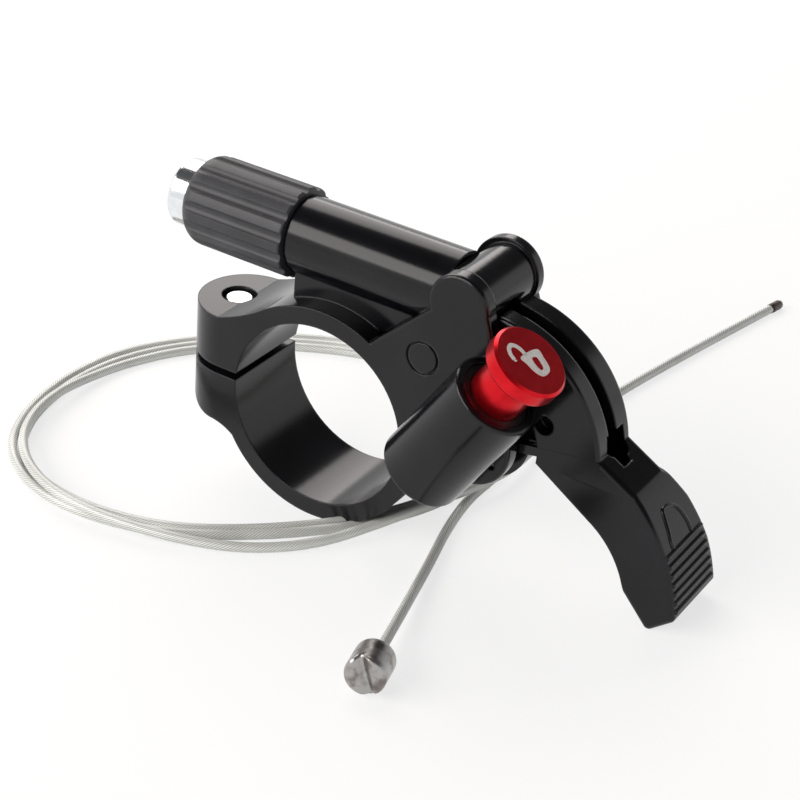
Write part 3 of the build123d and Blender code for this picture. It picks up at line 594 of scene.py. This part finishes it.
def flatPlate(name, loops, height):
    lines = [[(spot.x, spot.y, 0) for spot in loop] for loop in loops]
    return curveMesh(curveData(name, lines, closed=True, dimensions="2D", fill_mode="BOTH",
                               extrude=height / 2))


# pale ink printed on the button: an open padlock, matt and slightly grey
def inkMaterial():
    look = {"thin": "#c6bfbc", "full": "#dcd8d4", "grain": 0.4, "roughness": 0.5}
    material, tree, coords = texturedMaterial("paleInk")
    grain = noise(tree, coords, look["grain"], 2)
    closeMaterial(tree, colour=ramp(tree, grain, [(0.3, look["thin"]), (0.7, look["full"])]),
                  roughness=look["roughness"])
    return material


def makeSign():
    loops = [[smoothLoop(button["body"], True), smoothLoop(button["slot"], True)],
             [strokeOutline(button["shackle"], button["stroke"])]]
    axis = Vector(button["axis"])
    across, down = Vector((0, 1, 0)), Vector((axis.z, 0, -axis.x))
    turn = Matrix((across, down, axis)).transposed()
    form = bmesh.new()
    for loop in loops:
        form.from_mesh(flatPlate("signPart", loop, button["signHeight"]))
    for vert in form.verts:
        vert.co = (turn @ vert.co + Vector(button["face"]) + axis * button["signHeight"] / 2) * mm
    bmesh.ops.remove_doubles(form, verts=form.verts, dist=1e-8)
    sign = meshObject("button_sign", formMesh(form, "signForm"), inkMaterial(), smooth=False)
    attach(sign, "button")


makeSign()


restTilt = math.radians(4.298)


# a place drawn with the adjuster tube level, in millimetres, turned to the object's rest
def atRest(x, y, z):
    return Vector((x * math.cos(restTilt) + z * math.sin(restTilt), y,
                   z * math.cos(restTilt) - x * math.sin(restTilt)))


# the arch moulded on the thumb pad: its points are y and the distance down the pad's curve from its start
pad = {
    "centre": (24.9, -11.86), "radius": 21.057, "start": (38.4, 4.3),
    "arch": [(-2.15, 7.2), (-2.1, 6.4), (-1.88, 5.75), (-1.68, 5.15), (-1.38, 4.15), (-1.12, 3.4),
             (-0.8, 3.15), (-0.05, 3.2), (0.9, 3.45), (1.4, 3.85), (1.7, 4.35), (2.0, 5.2), (2.2, 6.2),
             (2.2, 7.2)],
    "ridge": 0.28, "sunk": 0.06,
}


# a point on the thumb pad: y, the distance down from the pad's start, and the height over it
def onPad(y, down, up):
    cx, cz = pad["centre"]
    sx, sz = pad["start"]
    angle = math.atan2(sz - cz, sx - cx) - down / pad["radius"]
    reach = pad["radius"] + up
    return atRest(cx + reach * math.cos(angle), y, cz + reach * math.sin(angle))


def makeArch():
    points = [onPad(spot.x, spot.y, -pad["sunk"]) for spot in smoothLoop(pad["arch"], False, 4)]
    arch = meshObject("pad_arch", wireMesh("padArch", points, pad["ridge"], 3), paint)
    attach(arch, "thumb_lever")


makeArch()
print("signs made")


# a smear of filler under the paint where the arm runs into the cable sector, flush with the lever's face
filler = {
    "pivot": (19.4, 4.3), "front": -3.9, "proud": 0.02, "deep": 0.4,
    "outline": [(5.0, -0.2), (10.0, 0.75), (14.2, 1.6), (14.75, 1.8), (14.72, 2.3), (14.3, 2.35),
                (10.0, 1.75), (5.0, 0.95)],
}


def makeFiller():
    px, pz = filler["pivot"]
    form = bmesh.new()
    outer, inner = ([form.verts.new(atRest(px + dx, y, pz + dz) * mm) for dx, dz in filler["outline"]]
                    for y in (filler["front"] - filler["proud"], filler["front"] + filler["deep"]))
    form.faces.new(outer)
    form.faces.new(inner[::-1])
    for i in range(len(outer)):
        j = (i + 1) % len(outer)
        form.faces.new((outer[i], inner[i], inner[j], outer[j]))
    piece = meshObject("lever_filler", formMesh(form, "fillerForm"), paintMaterial("glossPaintOnFiller", 0),
                       smooth=False)
    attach(piece, "thumb_lever")


makeFiller()


# the button's spring shortens and the torsion spring winds when they work; here each gets a form of its own
# in place of its node
springs = {
    "pressTravel": 2.4, "pivot": (19.668, 2.834), "rearLeg": 1.4, "legEnd": 0.3,
    "radius": 3.55, "wire": 0.28, "pitch": 0.66, "turns": 2.25, "steps": 28,
}


# the torsion spring: its front leg, its turns from front to rear, and its rear leg. It has a turn less than
# the node has, and thinner wire, so that the catch pin clears its front turn when the button is down
def woundWire(front, coilStart, coilEnd, rear):
    x, z = springs["pivot"]
    leg = [vertex.co / mm for vertex in nodes["return_spring"].data.vertices
           if vertex.co.y / mm < front + springs["legEnd"]]
    begin = math.atan2(sum(p.z for p in leg) / len(leg) - z, sum(p.x for p in leg) / len(leg) - x)
    count = round(springs["turns"] * springs["steps"])
    places = [(i / count, coilStart + (coilEnd - coilStart) * i / count) for i in range(count + 1)]
    points = []
    for share, y in [(0, front)] + places + [(1, rear)]:
        angle = begin - math.tau * springs["turns"] * share
        points.append(Vector((x + springs["radius"] * math.cos(angle), y,
                              z + springs["radius"] * math.sin(angle))))
    return wireMesh("woundWire", points, springs["wire"], 2)


def springForm(name, node, mesh):
    piece = meshObject(name, mesh, nodes[node].data.materials[0])
    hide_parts(node)
    return piece


def makeSprings():
    press = springForm("button_spring_form", "button_spring", nodes["button_spring"].data.copy())
    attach(press, "clamp")
    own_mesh(press)
    front, rear = (corner[1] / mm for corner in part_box("return_spring"))
    coilEnd = rear - springs["rearLeg"]
    coilStart = coilEnd - springs["pitch"] * springs["turns"]
    wound = springForm("return_spring_form", "return_spring", woundWire(front, coilStart, coilEnd, rear))
    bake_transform(wound)


makeSprings()


# the studio: a pale floor, a world pale round the horizon and dark overhead, a long low softbox in front and
# a small one behind
studio = {
    "floor": "#fcfcfc", "reach": 3.0, "cells": 8, "background": 0.72, "lampColour": "#fffaf7",
    "skyStops": [(0.0, 1.0), (0.5, 1.0), (0.66, 1.0), (0.72, 0.12), (1.0, 0.08)],
    "softboxes": [  # place, aims at, size, watts
        ((-0.42, -0.58, 0.46), (0, 0, 0), (1.1, 0.42), 8.2),
        ((-0.42, 0.44, 0.52), (0, 0, 0), (0.62, 0.58), 4.4),
    ],
}


# the floor is itself for the light it gives, and nearer white where the camera or a reflection sees it
def makeFloor():
    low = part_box("cable_coil")[0][2]
    form = bmesh.new()
    bmesh.ops.create_grid(form, x_segments=studio["cells"], y_segments=studio["cells"],
                          size=studio["reach"] / 2)
    mesh = bpy.data.meshes.new("floorForm")
    for vert in form.verts:
        vert.co.z = low
    form.to_mesh(mesh)
    form.free()
    material, tree = newMaterial("studioFloor")
    lit = addNode(tree, "ShaderNodeBsdfDiffuse", {"Color": linear(studio["floor"])})
    white = addNode(tree, "ShaderNodeEmission", {"Color": linear("#ffffff"), "Strength": 1.0})
    ray = addNode(tree, "ShaderNodeLightPath").outputs
    seen = addNode(tree, "ShaderNodeMath", {0: ray["Is Camera Ray"], 1: ray["Is Glossy Ray"]},
                   operation="MAXIMUM")
    seen = addNode(tree, "ShaderNodeMath", {0: seen.outputs[0], 1: ray["Is Transmission Ray"]},
                   operation="MAXIMUM")
    share = addNode(tree, "ShaderNodeMath", {0: seen.outputs[0], 1: studio["background"]},
                    operation="MULTIPLY")
    mixed = addNode(tree, "ShaderNodeMixShader",
                    {0: share.outputs[0], 1: lit.outputs["BSDF"], 2: white.outputs["Emission"]})
    addNode(tree, "ShaderNodeOutputMaterial", {"Surface": mixed.outputs["Shader"]})
    meshObject("studio_floor", mesh, material)


def makeWorld():
    world = bpy.data.worlds.new("studioWorld")
    world.use_nodes = True
    tree = world.node_tree
    tree.nodes.clear()
    way = addNode(tree, "ShaderNodeTexCoord").outputs["Generated"]
    height = addNode(tree, "ShaderNodeSeparateXYZ", {"Vector": way}).outputs["Z"]
    share = addNode(tree, "ShaderNodeMapRange", {"Value": height, "From Min": -1.0}).outputs["Result"]
    sky = addNode(tree, "ShaderNodeBackground", {"Color": ramp(tree, share, studio["skyStops"])})
    addNode(tree, "ShaderNodeOutputWorld", {"Surface": sky.outputs["Background"]})
    bpy.context.scene.world = world


def makeLamps():
    for place, target, size, watts in studio["softboxes"]:
        data = bpy.data.lights.new("softbox", "AREA")
        data.shape = "RECTANGLE"
        data.size, data.size_y = size
        data.energy = watts
        data.color = linear(studio["lampColour"])[:3]
        lamp = bpy.data.objects.new("softbox", data)
        lamp.location = place
        lamp.rotation_euler = (Vector(target) - Vector(place)).to_track_quat("-Z", "Y").to_euler()
        bpy.context.scene.collection.objects.link(lamp)


makeFloor()
makeWorld()
makeLamps()
bpy.context.scene.view_settings.view_transform = "Standard"
print("studio lit")
